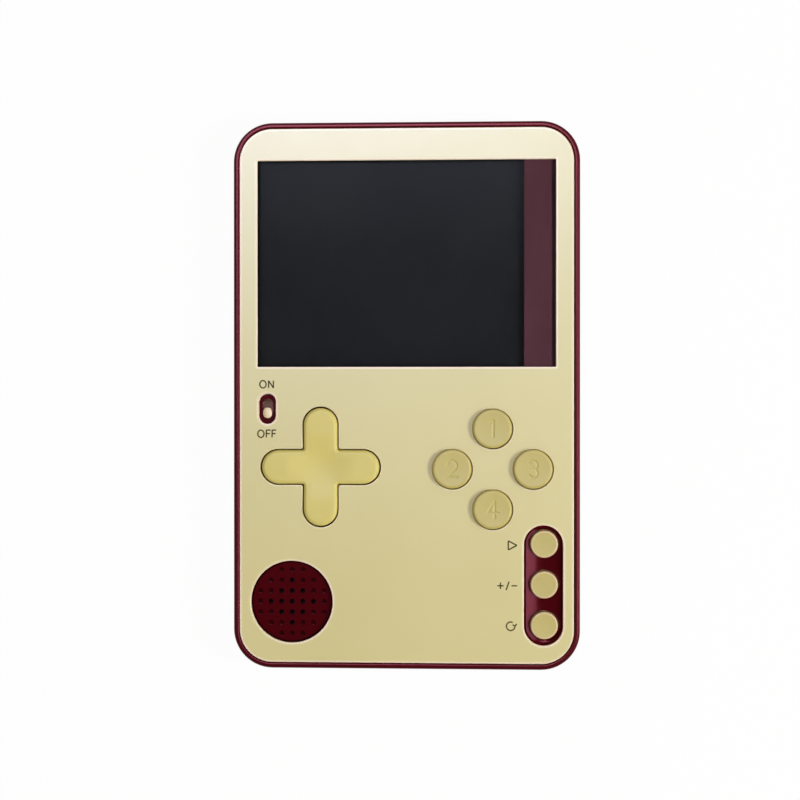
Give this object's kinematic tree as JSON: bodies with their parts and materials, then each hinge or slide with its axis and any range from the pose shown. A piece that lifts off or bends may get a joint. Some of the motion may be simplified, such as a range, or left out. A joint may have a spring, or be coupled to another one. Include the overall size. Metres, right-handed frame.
{
  "type": "handheld game console",
  "caption": "Small flat handheld game console with a colour screen, a cross key, round action keys, function keys in a slot, a speaker grille and a slide switch.",
  "frame": {"origin": "middle of the back face, on which the console lies", "axes": "+X to the right and +Y to the upper edge, as the player sees them; +Z out of the screen"},
  "size_m": [0.065, 0.1024, 0.0091],
  "materials": {
    "shell_plastic": "glossy moulded, dark red",
    "plate_plastic": "glossy moulded, cream",
    "key_plastic": "glossy moulded, olive cream",
    "lens_acrylic": "clear, polished",
    "screen_glass": "dark polariser, semi-gloss",
    "tray_plastic": "moulded, white",
    "flex_film": "amber film",
    "silicone": "moulded, grey",
    "contact_carbon": "matt carbon",
    "board_laminate": "green solder mask",
    "steel": "plated",
    "part_resin": "moulded resin, black",
    "ceramic": "fired ceramic, tan",
    "cell_foil": "laminated foil",
    "tape": "adhesive film, white",
    "foam": "closed-cell foam, black",
    "dust_cloth": "woven, black",
    "cone_film": "formed film, black",
    "coil_copper": "wound enamelled copper",
    "lead_sleeve": "wire sleeve, red"
  },
  "bodies": {
    "case": {"rear_shell": "shell_plastic", "front_shell": "shell_plastic", "face_plate": "plate_plastic", "screen_lens": "lens_acrylic", "screen_glass": "screen_glass", "screen_backlight": "tray_plastic", "screen_flex": "flex_film", "cross_keypad": "silicone", "action_keypad": "silicone", "function_keypad": "silicone", "cross_pills": "contact_carbon", "circuit_board": "board_laminate", "battery_guard": "board_laminate", "case_screws": "steel", "board_screws": "steel", "switch_can": "steel", "crystal": "steel", "socket_shell": "steel", "speaker_basket": "steel", "speaker_magnet": "steel", "screen_driver": "part_resin", "switch_base": "part_resin", "processor_blob": "part_resin", "memory_chip": "part_resin", "charger_chip": "part_resin", "socket_tongue": "part_resin", "board_passives": "ceramic", "battery_cell": "cell_foil", "face_plate_tape": "tape", "battery_tape": "tape", "screen_gasket": "foam", "speaker_gasket": "foam", "speaker_cloth": "dust_cloth", "speaker_cone": "cone_film", "speaker_coil": "coil_copper", "battery_leads": "lead_sleeve", "speaker_leads": "lead_sleeve"},
    "rocker": {"cross_pivot": "steel"},
    "cross": {"cross_key": "key_plastic"},
    "action_top": {"action_key_top": "key_plastic", "action_pill_top": "contact_carbon"},
    "action_left": {"action_key_left": "key_plastic", "action_pill_left": "contact_carbon"},
    "action_right": {"action_key_right": "key_plastic", "action_pill_right": "contact_carbon"},
    "action_bottom": {"action_key_bottom": "key_plastic", "action_pill_bottom": "contact_carbon"},
    "function_top": {"function_key_top": "key_plastic", "function_pill_top": "contact_carbon"},
    "function_middle": {"function_key_middle": "key_plastic", "function_pill_middle": "contact_carbon"},
    "function_bottom": {"function_key_bottom": "key_plastic", "function_pill_bottom": "contact_carbon"},
    "knob": {"switch_knob": "key_plastic"}
  },
  "joints": [
    {"name": "cross_pitch", "type": "hinge", "parent": "case", "child": "rocker", "pos_m": [-0.0161, -0.01355, 0.00425], "axis": [1, 0, 0], "range_deg": [-3, 3], "stiffness_Nm_per_rad": 0.2, "deforming": ["cross_keypad"]},
    {"name": "cross_roll", "type": "hinge", "parent": "rocker", "child": "cross", "pos_m": [-0.0161, -0.01355, 0.00425], "axis": [0, 1, 0], "range_deg": [-3, 3], "stiffness_Nm_per_rad": 0.2, "deforming": ["cross_keypad"]},
    {"name": "action_top_press", "type": "slide", "parent": "case", "child": "action_top", "axis": [0, 0, -1], "range_m": [0, 0.0007], "stiffness_N_per_m": 1200, "deforming": ["action_keypad"]},
    {"name": "action_left_press", "type": "slide", "parent": "case", "child": "action_left", "axis": [0, 0, -1], "range_m": [0, 0.0007], "stiffness_N_per_m": 1200, "deforming": ["action_keypad"]},
    {"name": "action_right_press", "type": "slide", "parent": "case", "child": "action_right", "axis": [0, 0, -1], "range_m": [0, 0.0007], "stiffness_N_per_m": 1200, "deforming": ["action_keypad"]},
    {"name": "action_bottom_press", "type": "slide", "parent": "case", "child": "action_bottom", "axis": [0, 0, -1], "range_m": [0, 0.0007], "stiffness_N_per_m": 1200, "deforming": ["action_keypad"]},
    {"name": "function_top_press", "type": "slide", "parent": "case", "child": "function_top", "axis": [0, 0, -1], "range_m": [0, 0.0005], "stiffness_N_per_m": 1500, "deforming": ["function_keypad"]},
    {"name": "function_middle_press", "type": "slide", "parent": "case", "child": "function_middle", "axis": [0, 0, -1], "range_m": [0, 0.0005], "stiffness_N_per_m": 1500, "deforming": ["function_keypad"]},
    {"name": "function_bottom_press", "type": "slide", "parent": "case", "child": "function_bottom", "axis": [0, 0, -1], "range_m": [0, 0.0005], "stiffness_N_per_m": 1500, "deforming": ["function_keypad"]},
    {"name": "power_slide", "type": "slide", "parent": "case", "child": "knob", "axis": [0, 1, 0], "range_m": [0, 0.0018]}
  ]
}
